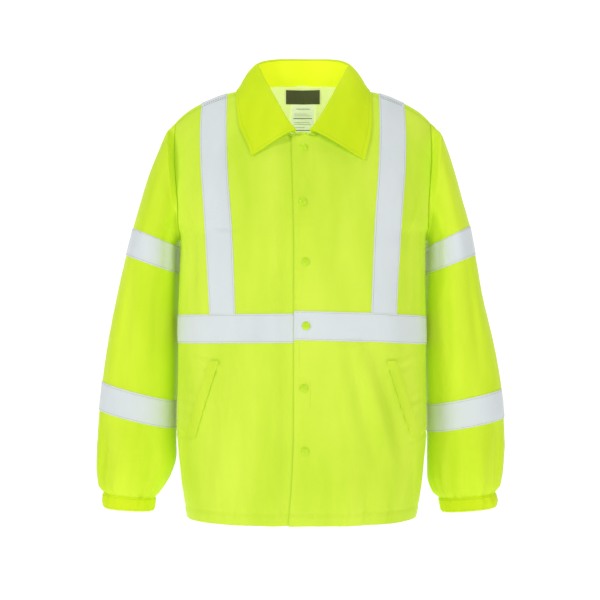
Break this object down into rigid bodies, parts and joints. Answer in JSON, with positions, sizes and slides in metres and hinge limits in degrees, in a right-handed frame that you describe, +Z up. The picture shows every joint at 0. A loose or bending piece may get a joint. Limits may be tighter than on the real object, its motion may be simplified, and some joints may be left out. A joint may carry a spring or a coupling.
{
  "type": "hi-vis work jacket",
  "caption": "Filled-out hi-vis work jacket, open inside, with a turned-down collar, snap front, slanted pockets, gathered cuffs and reflective tape on body, shoulders and sleeves",
  "frame": {"origin": "the middle of the neck, level with the inner ends of the shoulder seams, where a wearer's shoulders hold the jacket", "axes": "+Z up, -Y the way the front faces, +X the wearer's left"},
  "size_m": [0.7598, 0.2889, 0.8534],
  "materials": {
    "shell": "satin",
    "tape": "satin",
    "snap": "gloss",
    "lining": "matte",
    "neck_label": "matte",
    "care_label": "satin"
  },
  "bodies": {
    "root": {"front_left": "shell", "front_right": "shell", "back": "shell", "shoulder_tape_front_left": "tape", "shoulder_tape_front_right": "tape", "shoulder_tape_back_left": "tape", "shoulder_tape_back_right": "tape", "waist_tape_front_left": "tape", "waist_tape_front_right": "tape", "waist_tape_back": "tape", "sleeve_left": "shell", "sleeve_right": "shell", "cuff_left": "shell", "cuff_right": "shell", "sleeve_tape_upper_left": "tape", "sleeve_tape_lower_left": "tape", "sleeve_tape_upper_right": "tape", "sleeve_tape_lower_right": "tape", "collar": "shell", "pocket_welt_left": "shell", "pocket_welt_right": "shell", "lining_back": "lining", "neck_label": "neck_label", "care_label": "care_label", "snap_1": "snap", "snap_2": "snap", "snap_3": "snap", "snap_4": "snap", "snap_5": "snap", "snap_6": "snap"}
  },
  "joints": []
}
